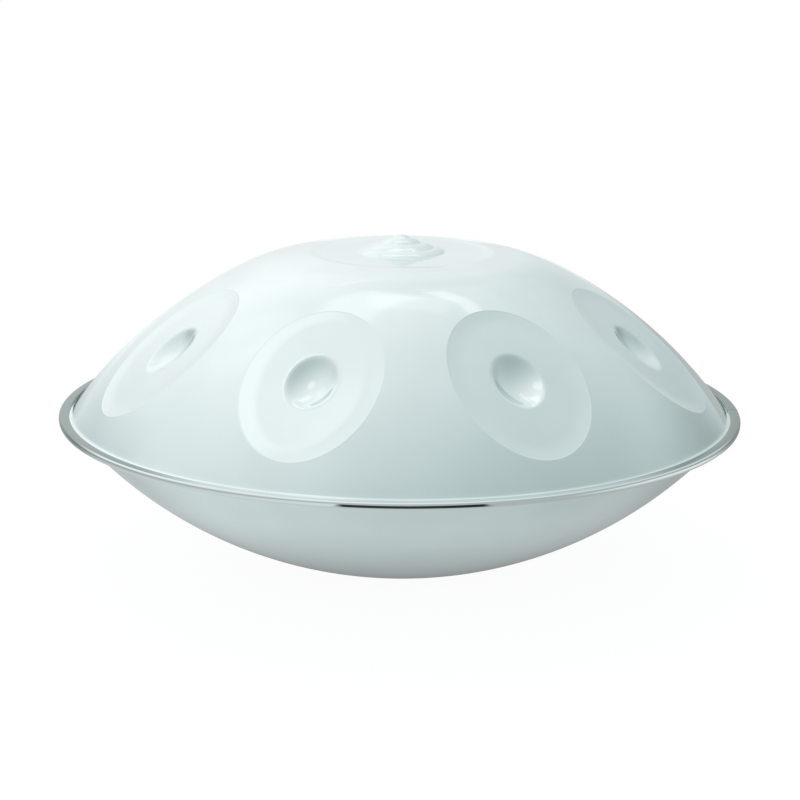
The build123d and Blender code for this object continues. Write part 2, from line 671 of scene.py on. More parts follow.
class Workshop:
    """The trees and finishes that all pieces share, and the ways of making a piece."""

    def __init__(self) -> None:
        """Builds the trees and the finishes."""
        self.lathe = lathe_tree()
        self.ring_of_fields = ring_of_fields_tree()
        self.shell_steel = SHELL_STEEL.material()
        self.ring_steel = RING_STEEL.material()
        self.bond_resin = BOND_RESIN.material()

    @staticmethod
    def blank(
        name: str,
        points: Array,
        faces: Sequence[Sequence[int]] = (),
        edges: Sequence[Sequence[int]] = (),
    ) -> bpy.types.Object:
        """An object from points and faces or edges.

        Args:
            name: The object's name.
            points: Rows of x, y and z.
            faces: The corners of each face, for a surface.
            edges: The ends of each edge, for a bare line.

        Returns:
            The object, linked to the scene.
        """
        mesh = bpy.data.meshes.new(name)
        mesh.from_pydata([tuple(p) for p in points], list(edges), list(faces))
        made = bpy.data.objects.new(name, mesh)
        bpy.context.scene.collection.objects.link(made)
        return made

    @staticmethod
    def grow(
        blank: bpy.types.Object, tree: bpy.types.NodeTree, inputs: Mapping[str, Value]
    ) -> None:
        """Puts a geometry tree on an object and sets its inputs by identifier.

        Args:
            blank: The object.
            tree: The tree.
            inputs: What its inputs are given, by name.
        """
        grown = blank.modifiers.new(tree.name, "NODES")
        grown.node_group = tree
        for item in tree.interface.items_tree:
            if item.item_type == "SOCKET" and item.in_out == "INPUT" and item.name in inputs:
                grown[item.identifier] = inputs[item.name]

    @staticmethod
    def settle(blank: bpy.types.Object) -> bpy.types.Object:
        """Turns an object and its modifiers into a plain mesh.

        Args:
            blank: The object.

        Returns:
            The same object, with no modifiers left.
        """
        bpy.context.view_layer.update()
        graph = bpy.context.evaluated_depsgraph_get()
        mesh = bpy.data.meshes.new_from_object(blank.evaluated_get(graph), depsgraph=graph)
        blank.modifiers.clear()
        old = blank.data
        blank.data = mesh
        bpy.data.meshes.remove(old)
        mesh.name = blank.name
        return blank

    def turned(
        self,
        name: str,
        outline: Array,
        segments: int,
        finish: bpy.types.Material,
        start: float = 0.0,
        sweep: float = 2 * math.pi,
    ) -> bpy.types.Object:
        """A piece turned round the axis.

        Args:
            name: The piece's name.
            outline: Rows of radius and height.
            segments: How many steps the turn has.
            finish: Its material.
            start: The turn's first angle.
            sweep: How far it goes round.

        Returns:
            The piece, as a plain mesh.
        """
        points = np.c_[outline[:, 0], np.zeros(len(outline)), outline[:, 1]]
        edges = [(i, i + 1) for i in range(len(outline) - 1)]
        piece = self.blank(name, points, edges=edges)
        inputs = {
            "Segments": segments,
            "Start": start,
            "Sweep": sweep,
            "Weld": WELD,
            "Finish": finish,
        }
        self.grow(piece, self.lathe, inputs)
        return self.settle(piece)

    @staticmethod
    def seat(piece: bpy.types.Object, node: str, slot: Slot) -> bpy.types.Object:
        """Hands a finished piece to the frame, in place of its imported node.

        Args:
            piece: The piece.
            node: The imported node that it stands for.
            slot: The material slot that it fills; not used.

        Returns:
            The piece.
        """
        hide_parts(node)
        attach(piece, "root")
        return piece


# ---------------------------------------------------------------- rim joint


@dataclass(frozen=True)
class Joint:
    """The sizes that both shells and the edge ring share where they meet."""

    wall: float = 1.2 * MM
    foot_fillet: float = 4.0 * MM
    dome_slope: float = 53.4
    flange_reach: float = 11.0 * MM
    ring_wall: float = 1.0 * MM
    clearance: float = 0.3 * MM

    @property
    def rim_radius(self) -> float:
        """Outermost radius, over the edge ring."""
        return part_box("rim_ring")[1].x

    @property
    def foot_radius(self) -> float:
        """Where each shell begins to turn out into its flange."""
        return self.rim_radius - self.flange_reach

    @property
    def flange_radius(self) -> float:
        """The flanges' edge, inside the ring."""
        return self.rim_radius - self.ring_wall - self.clearance


# ---------------------------------------------------------------- top shell


@dataclass(frozen=True)
class Arc:
    """One arc of the dome's profile, between two slopes in degrees."""

    size: float
    start: float
    end: float

    @property
    def angles(self) -> Span:
        """The two slopes in radians."""
        return math.radians(self.start), math.radians(self.end)

    @property
    def fall(self) -> float:
        """Height lost along it."""
        return self.size * (math.cos(self.angles[0]) - math.cos(self.angles[1]))

    @property
    def reach(self) -> float:
        """Distance covered outwards."""
        return self.size * (math.sin(self.angles[1]) - math.sin(self.angles[0]))

    @classmethod
    def spanning(cls, span: float, start: float, end: float) -> "Arc":
        """The arc that covers a given distance outwards between two slopes."""
        return cls(span / cls(1.0, start, end).reach, start, end)


@dataclass(frozen=True)
class ToneField:
    """The sizes of one dished oval note, in its own tangent plane.

    A sloping band leads from its creased outline down to the membrane, and the
    dimple sits a little up the slope from its middle, behind a soft lip.
    """

    half_length: float = 66.5 * MM
    half_width: float = 51.0 * MM
    band: float = 10.0 * MM
    drop_side: float = 1.0 * MM
    drop_end: float = 0.55 * MM
    crease: float = 0.06 * MM
    edge_drop: float = 0.10 * MM
    edge_width: float = 1.2 * MM
    band_softness: float = 0.42 * MM
    dimple_half_length: float = 23.0 * MM
    dimple_half_width: float = 18.5 * MM
    dimple_depth: float = 6.3 * MM
    dimple_rise: float = 2.0 * MM
    lip: float = 1.6 * MM
    ball_share: float = 0.98

    @property
    def dimple_ball(self) -> float:
        """Radius of the ball that the dimple is pressed with, across the slope."""
        depth = self.dimple_depth
        return (self.dimple_half_width**2 + depth**2) / (2 * depth)


def soft_lower(a: Array, b: Array, blend: float) -> Array:
    """The lower of two heights, rounded where they cross."""
    return np.minimum(a, b) - np.maximum(blend - np.abs(a - b), 0) ** 2 / (4 * blend)


def soft_upper(a: Array, b: Array, blend: float) -> Array:
    """The higher of two heights, rounded where they cross."""
    return -soft_lower(-a, -b, blend)


@dataclass
class TopShell:
    """The dome: a stepped centre note, eight dished notes round it and a flange.

    The slopes in degrees are those at the crown's edge, at the crest, at the
    shoulder and where the flank starts. Each note has a sector of the shell,
    whose mesh is rings of faces in columns. The columns_ and corner_ values
    share the columns out over the sector's sides, and the rings_ values say how
    many rings each zone has, or where they lie as shares of the dimple's size.
    """

    workshop: Workshop
    joint: Joint = field(default_factory=Joint)
    crown_radius: float = 71.0 * MM
    crest_radius: float = 95.5 * MM
    crest_fillet: float = 25.0 * MM
    flank_radius: float = 129.0 * MM
    slopes: tuple[float, ...] = (7.8, 8.8, 13.0, 27.3)
    central_band: float = 6.0 * MM
    central_drop: float = 0.8 * MM
    central_rise: float = 0.7 * MM
    terrace_widths: tuple[float, ...] = (8.6 * MM, 10.4 * MM, 8.2 * MM)
    terrace_height: float = 3.6 * MM
    terrace_bulge: float = 0.75 * MM
    knob_radius: float = 6.8 * MM
    knob_height: float = 2.3 * MM
    corner_softness: float = 2.2 * MM
    crown_walk: float = 0.1 * MM
    crown_spacing: float = 3.4 * MM
    crown_bend: float = 4.5
    field_count: int = 8
    field_foot_gap: float = 13.5 * MM
    field_inner_edge: float = 105.0 * MM
    note: ToneField = field(default_factory=ToneField)
    columns_out: int = 24
    columns_side: int = 28
    columns_in: int = 16
    corner_out: float = 48.0
    corner_in: float = 155.0
    rings_out: int = 12
    rings_growth: float = 1.35
    rings_membrane: int = 6
    rings_lip: tuple[float, ...] = (1.14, 1.09, 1.055, 1.025, 1.0, 0.975, 0.945, 0.90)
    rings_cup: int = 8
    cup_middle: float = 0.04
    trace_steps: int = 1500
    plane_rounds: int = 25

    def __post_init__(self) -> None:
        """Works out the dome's profile and where a note lies on it."""
        self.flange_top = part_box("top_shell")[0].z + self.joint.wall
        self.foot_radius = self.joint.foot_radius
        crown, crest, shoulder, flank = self.slopes
        foot = self.joint.dome_slope
        fillet = Arc(self.crest_fillet, crest, shoulder)
        self.arcs = (
            Arc.spanning(self.crest_radius - self.crown_radius, crown, crest),
            fillet,
            Arc.spanning(self.flank_radius - self.crest_radius - fillet.reach, shoulder, flank),
            Arc.spanning(self.foot_radius - self.flank_radius, flank, foot),
        )
        self.foot_height = self.flange_top + Arc(self.joint.foot_fillet, 0, foot).fall
        self.crown_height = self.foot_height + sum(arc.fall for arc in self.arcs)
        self._trace_dome()
        self._place_note()

    def _trace_dome(self) -> None:
        """Samples the dome's outer face finely, from the crown's edge to the foot."""
        line = Profile(self.crown_radius, self.crown_height, self.slopes[0])
        for arc in self.arcs:
            line.bend(arc.size, arc.end - arc.start, self.trace_steps)
        self.dome_line = line.array()
        steps = np.hypot(*np.diff(self.dome_line, axis=0).T)
        self.dome_along = np.concatenate([[0], np.cumsum(steps)])

    def _place_note(self) -> None:
        """Finds a note's centre on the flank and the tangent plane there."""
        flank = self.arcs[-1]
        start, end = flank.angles
        end_reach = self.foot_radius - self.field_foot_gap - self.flank_radius
        end_slope = math.asin(math.sin(start) + end_reach / flank.size)
        slope = end_slope - self.note.half_length / flank.size
        radius = self.flank_radius + flank.size * (math.sin(slope) - math.sin(start))
        height = self.foot_height + flank.size * (math.cos(slope) - math.cos(end))
        self.note_slope = slope
        self.note_centre = np.array([radius, 0.0, height])
        self.note_axes = np.array(
            [
                [math.cos(slope), 0.0, -math.sin(slope)],
                [0.0, 1.0, 0.0],
                [math.sin(slope), 0.0, math.cos(slope)],
            ]
        )
        hoop = radius / math.sin(slope)
        end_sag = flank.size - math.sqrt(flank.size**2 - self.note.half_length**2)
        side_sag = hoop - math.sqrt(hoop**2 - self.note.half_width**2)
        self.membrane_depth = side_sag + self.note.drop_side
        bow = end_sag + self.note.drop_end - self.membrane_depth
        half = self.note.half_length - self.note.band
        self.membrane_curve = (half**2 + bow**2) / (2 * bow)

    def dome_height(self, radius: Array) -> Array:
        """Height of the plain dome at a radius."""
        return np.interp(radius, self.dome_line[:, 0], self.dome_line[:, 1])

    def dome_over_plane(self, u: Array, v: Array) -> Array:
        """Height of the plain dome over a note's tangent plane.

        Args:
            u: Distance down the slope from the note's centre.
            v: Distance across it.

        Returns:
            The height along the plane's normal.
        """
        along, across, normal = self.note_axes
        base = self.note_centre + u[..., None] * along + v[..., None] * across
        height = np.zeros_like(u)
        for _ in range(self.plane_rounds):
            point = base + height[..., None] * normal
            gap = point[..., 2] - self.dome_height(np.hypot(point[..., 0], point[..., 1]))
            height = height - gap * math.cos(self.note_slope)
        return height

    def note_height(self, inset: Array, turn: Array) -> tuple[Array, Array, Array]:
        """Height of the finished face over the tangent plane, on ovals inside the note.

        Args:
            inset: Distance of each oval inside the note's outline.
            turn: Angle round the oval.

        Returns:
            Distances down the slope and across it, and the height.
        """
        note = self.note
        u = (note.half_length - inset) * np.cos(turn)
        v = (note.half_width - inset) * np.sin(turn)
        return self._dish(u, v, inset, turn)

    def _membrane(self, u: Array) -> Array:
        """Height of the note's membrane, very slightly bowed along the slope."""
        return -self.membrane_depth - u**2 / (2 * self.membrane_curve)

    def _dish(self, u: Array, v: Array, inset: Array, turn: Array) -> tuple[Array, Array, Array]:
        """Joins dome, sloping band, membrane and dimple into one face.

        Args:
            u: Distance down the slope from the note's centre.
            v: Distance across it.
            inset: Distance inside the note's outline.
            turn: Angle round the oval.

        Returns:
            Distances down the slope and across it, and the height.
        """
        note = self.note
        outline_u, outline_v = note.half_length * np.cos(turn), note.half_width * np.sin(turn)
        outline = self.dome_over_plane(outline_u, outline_v)
        foot = self._membrane((note.half_length - note.band) * np.cos(turn))
        edge = np.clip(inset / note.edge_width, 0, 1)
        step = note.edge_drop * edge * (2 - edge) * (1 - np.clip(inset / note.band, 0, 1))
        band = outline + (foot - outline) * inset / note.band - step
        inner = soft_upper(band, self._membrane(u), note.band_softness)
        dished = soft_lower(self.dome_over_plane(u, v), inner, note.crease)
        ball, wide = note.dimple_ball, note.dimple_half_width
        part = np.hypot((u + note.dimple_rise) / note.dimple_half_length, v / wide) * wide
        lowest = self.membrane_depth + note.dimple_depth
        cup = ball - lowest - np.sqrt(np.maximum(ball**2 - part**2, 0))
        near = part < note.ball_share * ball
        return u, v, np.where(near, soft_lower(dished, cup, note.lip), dished)

    def sector(self) -> bpy.types.Object:
        """One eighth of the shell between the crown and the foot, its note on +X.

        Returns:
            A mesh of ovals round the note that spread out to the sector's edges.
        """
        turn, edge_angle, edge_part = self._columns(math.pi / self.field_count)
        grid_inset, grid_turn = np.meshgrid(self._insets(), turn, indexing="ij")
        u, v, h = self._note_points(grid_inset, grid_turn)
        rings = self.note_centre + np.stack([u, v, h], axis=-1) @ self.note_axes
        first = rings[0]
        radius = np.hypot(first[:, 0], first[:, 1])
        place = np.interp(radius, self.dome_line[:, 0], self.dome_along)
        angle = np.arctan2(first[:, 1], first[:, 0])
        inner = np.interp(self.field_inner_edge, self.dome_line[:, 0], self.dome_along)
        edge_place = inner + (self.dome_along[-1] - inner) * edge_part
        share = np.linspace(1, 0, self.rings_out + 1)[:-1, None] ** self.rings_growth
        angles = angle + (edge_angle - angle) * share
        places = place + (edge_place - place) * share
        radii = np.interp(places, self.dome_along, self.dome_line[:, 0])
        heights = np.interp(places, self.dome_along, self.dome_line[:, 1])
        outer = np.stack([radii * np.cos(angles), radii * np.sin(angles), heights], axis=-1)
        return self._ring_mesh(np.vstack([outer, rings]))

    def _columns(self, half_angle: float) -> tuple[Array, Array, Array]:
        """The columns that run from a sector's edge to its note.

        Args:
            half_angle: Half of the sector's angle round the axis.

        Returns:
            Each column's angle round the oval, its angle round the axis at the
            sector's edge, and its share of the way from the inner edge to the foot.
        """
        half_out, half_in = self.columns_out // 2, self.columns_in // 2
        side = self.columns_side
        corner_out, corner_in = math.radians(self.corner_out), math.radians(self.corner_in)
        turn = np.concatenate(
            [
                np.linspace(0, corner_out, half_out + 1)[:-1],
                np.linspace(corner_out, corner_in, side + 1)[:-1],
                np.linspace(corner_in, math.pi, half_in + 1),
            ]
        )
        angle = np.concatenate(
            [
                np.linspace(0, half_angle, half_out + 1)[:-1],
                np.full(side, half_angle),
                np.linspace(half_angle, 0, half_in + 1),
            ]
        )
        sides = np.linspace(1, 0, side + 1)[:-1]
        part = np.concatenate([np.ones(half_out), sides, np.zeros(half_in + 1)])
        mirrored = slice(-2, 0, -1)
        return (
            np.concatenate([turn, 2 * math.pi - turn[mirrored]]),
            np.concatenate([angle, -angle[mirrored]]),
            np.concatenate([part, part[mirrored]]),
        )

    def _insets(self) -> Array:
        """Insets of the ovals, close together at each crease."""
        note = self.note
        crease = np.array([-1.4, -0.7, -0.3, 0.0, 0.3, 0.6, 0.9, 1.2, 1.7]) * MM
        band = np.linspace(2.8 * MM, note.band - 3.2 * MM, 4)
        soft = note.band + np.array([-1.6, 0.0, 1.6, 3.4]) * MM
        return np.concatenate([crease, band, soft])

    def _note_points(self, inset: Array, turn: Array) -> tuple[Array, Array, Array]:
        """The note's ovals, from just outside its outline to the dimple's middle.

        Args:
            inset: Distance of each outer oval inside the note's outline.
            turn: Angle round the oval.

        Returns:
            Distances down the slope and across it, and the height.
        """
        note = self.note
        outer = self.note_height(inset, turn)
        start_u = note.half_length - inset[-1, 0]
        start_v = note.half_width - inset[-1, 0]
        membrane = np.linspace(0, 1, self.rings_membrane + 2)[1:-1]
        lip = np.array(self.rings_lip)
        bowl = np.linspace(lip[-1], self.cup_middle, self.rings_cup + 1)[1:]
        cup = np.concatenate([lip, bowl])
        rise = note.dimple_rise * np.concatenate([membrane, np.ones(len(cup))])
        sizes_u, sizes_v = (
            np.concatenate([start + (lip[0] * half - start) * membrane, cup * half])
            for start, half in (
                (start_u, note.dimple_half_length),
                (start_v, note.dimple_half_width),
            )
        )
        angle = np.broadcast_to(turn[0], (len(sizes_u), turn.shape[1]))
        u = sizes_u[:, None] * np.cos(angle) - rise[:, None]
        v = sizes_v[:, None] * np.sin(angle)
        inner = self._dish(u, v, np.full_like(u, note.band * 2), angle)
        return tuple(np.vstack([a, b]) for a, b in zip(outer, inner))

    def _ring_mesh(self, rings: Array) -> bpy.types.Object:
        """A mesh through closed rings of points, the last one filled to its middle.

        Args:
            rings: Rings of points, from the outermost inwards.

        Returns:
            The mesh's object.
        """
        count, columns, _ = rings.shape
        points = np.vstack([rings.reshape(-1, 3), rings[-1].mean(axis=0)])
        faces = []
        for i in range(count - 1):
            for j in range(columns):
                k = (j + 1) % columns
                a, b = i * columns, (i + 1) * columns
                faces.append((a + j, a + k, b + k, b + j))
        last = (count - 1) * columns
        faces += [(last + j, last + (j + 1) % columns, count * columns) for j in range(columns)]
        return Workshop.blank("note_sector", points, faces)

    def crown_line(self) -> Array:
        """The centre of the shell from the axis out to the notes' sectors.

        Returns:
            Rows of radius and height, with rounded corners.
        """
        base = self.crown_height - self.central_drop + self.central_rise
        top = base + len(self.terrace_widths) * self.terrace_height
        size = (self.knob_radius**2 + self.knob_height**2) / (2 * self.knob_height)
        turn = math.degrees(math.asin(self.knob_radius / size))
        line = Profile(0.0, top + self.knob_height, 0.0).bend(size, turn, 12).points
        radius, height = self.knob_radius, top
        for width in reversed(self.terrace_widths):
            line += self._bulging(radius, height, width)
            radius, height = radius + width, height - self.terrace_height
        line.append((self.crown_radius - self.central_band, self.crown_height - self.central_drop))
        outer = self.dome_line[self.dome_line[:, 0] < self.field_inner_edge - 0.01 * MM]
        edge = (self.field_inner_edge, float(self.dome_height(np.array(self.field_inner_edge))))
        whole = np.vstack([line, outer, edge])
        return softened(
            whole, self.corner_softness, self.crown_walk, self.crown_spacing, self.crown_bend
        )

    def _bulging(self, radius: float, height: float, width: float) -> list[tuple[float, float]]:
        """The face of one terrace, from its inner corner out and down.

        Args:
            radius: The inner corner's radius.
            height: Its height.
            width: How far the terrace reaches outwards.

        Returns:
            Pairs of radius and height, without the inner corner.
        """
        chord = math.hypot(width, self.terrace_height)
        bulge = self.terrace_bulge
        size = (chord**2 / 4 + bulge**2) / (2 * bulge)
        half = math.degrees(math.asin(chord / 2 / size))
        slope = math.degrees(math.atan2(self.terrace_height, width))
        return Profile(radius, height, slope - half).bend(size, 2 * half, 10).points[1:]

    def build(self) -> bpy.types.Object:
        """Makes the whole shell.

        Returns:
            The finished piece.
        """
        finish = self.workshop.shell_steel
        crown_segments = self.field_count * self.columns_in
        foot_segments = self.field_count * self.columns_out
        crown = self.workshop.turned("crown", self.crown_line(), crown_segments, finish)
        edge = Profile(self.foot_radius, self.foot_height, self.joint.dome_slope)
        edge.bend(self.joint.foot_fillet, -self.joint.dome_slope, 8)
        edge.run(self.joint.flange_radius - edge.points[-1][0], 3)
        foot = self.workshop.turned("foot", edge.array(), foot_segments, finish)
        shell = self.sector()
        shell.name = "top_shell_skin"
        inputs = {
            "Count": self.field_count,
            "First Angle": math.pi / self.field_count,
            "Crown": crown,
            "Foot": foot,
            "Weld": WELD,
            "Finish": finish,
        }
        self.workshop.grow(shell, self.workshop.ring_of_fields, inputs)
        wall = shell.modifiers.new("wall", "SOLIDIFY")
        wall.thickness = self.joint.wall
        wall.offset = -1.0
        wall.use_even_offset = True
        wall.use_quality_normals = True
        self.workshop.settle(shell)
        for helper in (crown, foot):
            bpy.data.objects.remove(helper)
        return self.workshop.seat(shell, "top_shell", Slot.SHELL)


# ---------------------------------------------------------------- bottom shell


@dataclass
class BottomShell:
    """The bowl, with a land that it stands on and a sound port turned inwards."""

    workshop: Workshop
    joint: Joint = field(default_factory=Joint)
    slope: float = 50.6
    port_radius: float = 50.0 * MM
    port_neck: float = 14.0 * MM
    port_fillet: float = 8.0 * MM
    land_width: float = 3.0 * MM
    land_blend: float = 30.0 * MM
    segments: int = 256

    def outline(self) -> Array:
        """The strip's closed outline, its outer face drawn from the neck to the flange.

        Returns:
            Rows of radius and height.
        """
        size = self.joint.foot_radius / math.sin(math.radians(self.slope))
        land_end = self.port_radius + self.port_fillet + self.land_width
        land_slope = math.degrees(math.asin(land_end / (size - self.land_blend)))
        line = Profile(self.port_radius, self.port_fillet + self.port_neck, 90.0)
        line.run(self.port_neck, 3)
        line.bend(self.port_fillet, -90.0, 12)
        line.run(self.land_width, 2)
        line.bend(self.land_blend, -land_slope, 6)
        line.bend(size, land_slope - self.slope, 40)
        line.bend(self.joint.foot_fillet, self.slope, 8)
        line.run(self.joint.flange_radius - line.points[-1][0], 2)
        return line.thickened(-self.joint.wall)[::-1]

    def build(self) -> bpy.types.Object:
        """Makes the shell.

        Returns:
            The finished piece.
        """
        shell = self.workshop.turned(
            "bottom_shell_skin", self.outline(), self.segments, self.workshop.shell_steel
        )
        return self.workshop.seat(shell, "bottom_shell", Slot.SHELL)


# ---------------------------------------------------------------- rim


@dataclass
class Rim:
    """The polished edge ring over both flanges, and the bond line inside it."""

    workshop: Workshop
    joint: Joint = field(default_factory=Joint)
    corner: float = 1.6 * MM
    gap: float = 0.6 * MM
    joint_angle: float = -5.5
    segments: int = 720

    def outline(self) -> Array:
        """The ring's U section, as a closed strip.

        Returns:
            Rows of radius and height.
        """
        low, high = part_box("rim_ring")
        fillet = self.joint.foot_fillet * math.sin(math.radians(self.joint.dome_slope))
        inner = self.joint.foot_radius + fillet + self.joint.clearance
        leg = high.x - inner - self.corner
        line = Profile(inner, high.z, 0.0).run(leg, 2).bend(self.corner, 90.0, 8)
        line.run(high.z - low.z - 2 * self.corner).bend(self.corner, 90.0, 8).run(leg, 2)
        return line.thickened(self.joint.ring_wall)

    def build(self) -> bpy.types.Object:
        """Makes the ring, closes its two cut ends and finishes the bond line.

        Returns:
            The ring.
        """
        _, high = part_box("rim_ring")
        half_gap = self.gap / 2 / high.x
        start = math.radians(self.joint_angle) + half_gap
        sweep = 2 * math.pi - 2 * half_gap
        ring = self.workshop.turned(
            "rim_ring_skin", self.outline(), self.segments, self.workshop.ring_steel, start, sweep
        )
        mesh = bmesh.new()
        mesh.from_mesh(ring.data)
        bmesh.ops.holes_fill(mesh, edges=[e for e in mesh.edges if e.is_boundary])
        bmesh.ops.recalc_face_normals(mesh, faces=mesh.faces)
        mesh.to_mesh(ring.data)
        mesh.free()
        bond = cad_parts["flange_adhesive"]
        bond.data.materials.clear()
        bond.data.materials.append(self.workshop.bond_resin)
        return self.workshop.seat(ring, "rim_ring", Slot.RING)


# ---------------------------------------------------------------- studio


def toward(azimuth: float, elevation: float) -> Vector:
    """The direction at an azimuth from the player's side, towards +X, and an elevation."""
    a, e = math.radians(azimuth), math.radians(elevation)
    return Vector((math.sin(a) * math.cos(e), -math.cos(a) * math.cos(e), math.sin(e)))


def facing(axes: Sequence[Wire], direction: Vector) -> Wire:
    """How squarely the direction whose three parts are given faces a fixed one."""
    return axes[0] * direction.x + axes[1] * direction.y + axes[2] * direction.z


@dataclass(frozen=True)
class Glow:
    """A round patch of light on the tent, fading between two angles off its middle."""

    azimuth: float
    elevation: float
    full: float
    edge: float
    gain: float

    def level(self, axes: Sequence[Wire]) -> Wire:
        """How bright it is in a direction.

        Args:
            axes: The direction's three parts.

        Returns:
            The level.
        """
        near = facing(axes, toward(self.azimuth, self.elevation))
        low, high = (math.cos(math.radians(a)) for a in (self.edge, self.full))
        return Ramp(low, high, self.gain).over(near)


@dataclass(frozen=True)
class Panel:
    """A long softbox on the tent, its half sizes and soft edge as slopes off its middle.

    The tilt lifts its end at the greater azimuth, in degrees. The front keeps
    it off the far side of the tent.
    """

    azimuth: float
    elevation: float
    half_width: float
    half_height: float
    edge: float
    gain: float
    tilt: float = 0.0
    front: Ramp = Ramp(0.5, 0.6)
    least_depth: float = 0.01

    def level(self, axes: Sequence[Wire]) -> Wire:
        """How bright it is in a direction.

        Args:
            axes: The direction's three parts.

        Returns:
            The level.
        """
        middle = toward(self.azimuth, self.elevation)
        across = Vector((-middle.y, middle.x, 0)).normalized()
        across.rotate(Matrix.Rotation(math.radians(self.tilt), 3, middle))
        near = facing(axes, middle)
        depth = near.call("MAXIMUM", self.least_depth)
        level = self.front.over(near) * self.gain
        for side, half in ((across, self.half_width), (middle.cross(across), self.half_height)):
            off = (facing(axes, side) / depth).call("ABSOLUTE")
            level = level * (1.0 - off.step(half - self.edge, half + self.edge))
        return level


@dataclass(frozen=True)
class Tent:
    """The light round the instrument, as one level for each direction.

    It leans and bends gently over the directions, carries glows and softboxes,
    and is darker low down behind, but not straight behind. Where it is bright
    it is white, and where it is dim it is a little green and blue.
    """

    middle: float = 0.896
    bends: tuple[tuple[str, float], ...] = (
        ("X", 0.025),
        ("Y", 0.07),
        ("XX", -0.282),
        ("YY", -0.206),
        ("XY", -0.03),
        ("XZ", -0.3),
        ("YZ", 0.275),
    )
    glows: tuple[Glow, ...] = (
        Glow(-158.0, 12.0, 0.0, 42.0, 0.19),
        Glow(-134.0, 48.0, 2.0, 12.0, 0.06),
        Glow(-80.0, 74.0, 3.0, 11.0, 0.14),
    )
    panels: tuple[Panel, ...] = (
        Panel(-169.0, 61.0, 0.17, 0.115, 0.03, 0.09, 35.0),
        Panel(172.0, 62.0, 0.14, 0.10, 0.03, 0.07),
        Panel(155.0, 57.0, 0.17, 0.035, 0.012, 0.13, -30.0),
        Panel(153.0, 54.0, 0.22, 0.11, 0.015, 0.03, -40.0),
        Panel(-176.0, 39.5, 0.10, 0.012, 0.008, 0.06, 50.0),
    )
    raised: Ramp = Ramp(-0.05, 0.55)
    behind: Ramp = Ramp(-0.2, 0.4, 0.41)
    straight_behind: Ramp = Ramp(0.632, 1.0)
    turned: float = 0.061
    least: float = 0.1
    dim_red: float = 0.91
    bright_red: Ramp = Ramp(0.5, 1.1, 0.11)

    def level(self, axes: Sequence[Wire]) -> Wire:
        """How bright it is in a direction.

        Args:
            axes: The direction's three parts.

        Returns:
            The level.
        """
        x, y, z = axes
        parts = dict(zip("XYZ", axes))
        level = self.middle
        for names, gain in self.bends:
            term = gain
            for name in names:
                term = parts[name] * term
            level = term + level
        for light in self.glows + self.panels:
            level = level + light.level(axes)
        dark = self.behind.over(y) * (1.0 - self.straight_behind.over(x * self.turned + y))
        level = level - dark * (1.0 - self.raised.over(z))
        return level.call("MAXIMUM", self.least)

    def red(self, level: Wire) -> Wire:
        """The red part of a level."""
        return level * (self.bright_red.over(level) + self.dim_red)


@dataclass(frozen=True)
class FloorImage:
    """How bright the floor is in the steel's reflections, place by place, in metres.

    It glows only in the steel's reflections, a painted reflection of the floor.
    It is dim under the bowl, a painted shadow. Round it, it is brightest at the
    left, with a dark wedge in front that opens towards the player, and behind it
    is brightest in the middle.
    """

    under: float = 0.28
    outwards: Ramp = Ramp(0.05, 0.21, 0.43)
    left_gain: float = 1.06
    rightwards: Ramp = Ramp(-0.3, 0.3, 0.28)
    backwards: Ramp = Ramp(-0.14, 0.04, 0.24)
    side: float = 0.45
    side_left: Ramp = Ramp(-0.9, -0.25, 0.40)
    side_middle: Ramp = Ramp(0.0, 0.15, 0.30)
    side_right: Ramp = Ramp(0.35, 0.7, 0.5)
    right_start: Ramp = Ramp(-0.6, -0.45)
    right_end: Ramp = Ramp(0.0, 0.2)
    wedge_tip: float = -0.10
    wedge_slope: float = 0.40
    wedge_edge: Ramp = Ramp(-0.015, 0.02)
    wedge_start: Ramp = Ramp(-1.02, -0.88, 0.95)
    wedge_end: Ramp = Ramp(-0.34, -0.26)
    rear: float = 0.52
    rear_left: Ramp = Ramp(-0.7, -0.15, 0.60)
    rear_right: Ramp = Ramp(0.12, 0.42, 0.60)
    least_depth: float = 0.1
    to_rear: Ramp = Ramp(0.2, 0.5)
    to_far: Ramp = Ramp(0.30, 0.50)

    def level(self, x: Wire, y: Wire) -> Wire:
        """How bright it is at a place.

        Args:
            x: The place's distance to the right of the instrument's axis.
            y: Its distance behind the axis.

        Returns:
            The level.
        """
        away = (x * x + y * y).call("SQRT")
        near = (
            (self.outwards.over(away) + self.under)
            * (self.left_gain - self.rightwards.over(x))
            * (1.0 - self.backwards.over(y))
        )
        rear, far = self.to_rear.over(y), self.to_far.over(away)
        beyond = self._beside(x, y) * (1.0 - rear) + self._behind(x, y) * rear
        return near * (1.0 - far) + beyond * far

    def _beside(self, x: Wire, y: Wire) -> Wire:
        """The level before the instrument and at its sides, with the dark wedge.

        Args:
            x: The place's distance to the right of the axis.
            y: Its distance behind the axis.

        Returns:
            The level.
        """
        right = self.side_right.over(x) * self.right_start.over(y) * (1.0 - self.right_end.over(y))
        level = self.side_left.over(x) - self.side_middle.over(x) + right + self.side
        off = x.call("ABSOLUTE") + (y - self.wedge_tip) * self.wedge_slope
        reach = self.wedge_start.over(y) * (1.0 - self.wedge_end.over(y))
        return level * (1.0 - (1.0 - self.wedge_edge.over(off)) * reach)

    def _behind(self, x: Wire, y: Wire) -> Wire:
        """The level behind the instrument, by the slope of the line back to it."""
        bearing = x / y.call("MAXIMUM", self.least_depth)
        return self.rear_left.over(bearing) - self.rear_right.over(bearing) + self.rear


